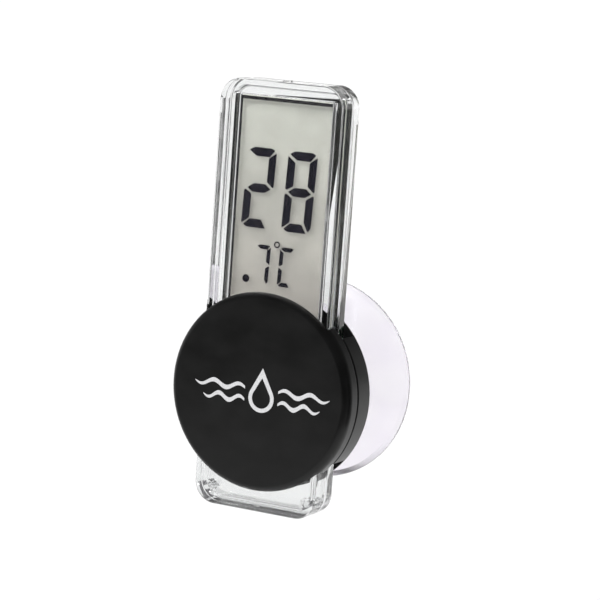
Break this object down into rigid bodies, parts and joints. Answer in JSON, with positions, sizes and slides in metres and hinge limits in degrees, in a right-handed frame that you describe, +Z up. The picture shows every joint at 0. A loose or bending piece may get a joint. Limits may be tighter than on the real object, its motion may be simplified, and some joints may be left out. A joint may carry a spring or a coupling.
{
  "type": "digital aquarium thermometer",
  "caption": "Flat clear case with a liquid crystal temperature display, clasped by a round black housing on a suction cup that holds it to glass.",
  "frame": {"origin": "centre of the suction cup's flat sealing plane, where its axis meets the glass it is pressed on", "axes": "+Y runs along the suction cup's axis into the glass, so the display faces -Y; +Z is up along the tall side of the clear case; +X is to the right as the display is read"},
  "size_m": [0.0508, 0.0331, 0.1051],
  "materials": {
    "clear_case": "clear moulded acrylic, polished",
    "black_housing": "satin black moulded ABS",
    "gasket": "matt black rubber",
    "foam_pad": "soft grey foam",
    "screw_steel": "zinc plated",
    "cell_steel": "bright nickel plated can",
    "contact_strip": "nickel plated spring strip",
    "board": "green solder resist",
    "black_epoxy": "black epoxy",
    "chip_black": "black moulded component",
    "ceramic": "tan ceramic",
    "elastomer": "layered conductive silicone",
    "polariser": "grey polarising film",
    "display_glass": "clear float glass",
    "reflector": "satin silver-grey reflective film",
    "clear_cup": "soft clear vinyl, slightly milky"
  },
  "bodies": {
    "cup": {"suction_cup": "clear_cup"},
    "thermometer": {"case_front_shell": "clear_case", "case_rear_shell": "clear_case", "front_cover": "black_housing", "rear_cover": "black_housing", "housing_screw_1": "screw_steel", "housing_screw_2": "screw_steel", "housing_screw_3": "screw_steel", "housing_screw_4": "screw_steel", "button_cell": "cell_steel", "negative_contact": "contact_strip", "positive_contact": "contact_strip", "circuit_board": "board", "board_screw_1": "screw_steel", "board_screw_2": "screw_steel", "chip_blob": "black_epoxy", "temperature_sensor": "chip_black", "chip_capacitor": "ceramic", "chip_resistor_1": "chip_black", "chip_resistor_2": "chip_black", "zebra_connector": "elastomer", "lcd_front_polariser": "polariser", "lcd_front_glass": "display_glass", "lcd_edge_seal": "black_epoxy", "lcd_rear_glass": "display_glass", "lcd_rear_polariser": "reflector", "lcd_fill_plug": "black_epoxy"},
    "battery_hatch": {"battery_cover": "black_housing", "battery_cover_seal": "gasket", "battery_cover_pad": "foam_pad"}
  },
  "joints": [
    {"name": "case_swivel", "type": "hinge", "parent": "cup", "child": "thermometer", "pos_m": [0, 0, 0], "axis": [0, 1, 0], "continuous": true},
    {"name": "battery_cover_twist", "type": "hinge", "parent": "thermometer", "child": "battery_hatch", "pos_m": [0, -0.0205, -0.0156], "axis": [0, 1, 0], "range_deg": [0, 40]}
  ]
}
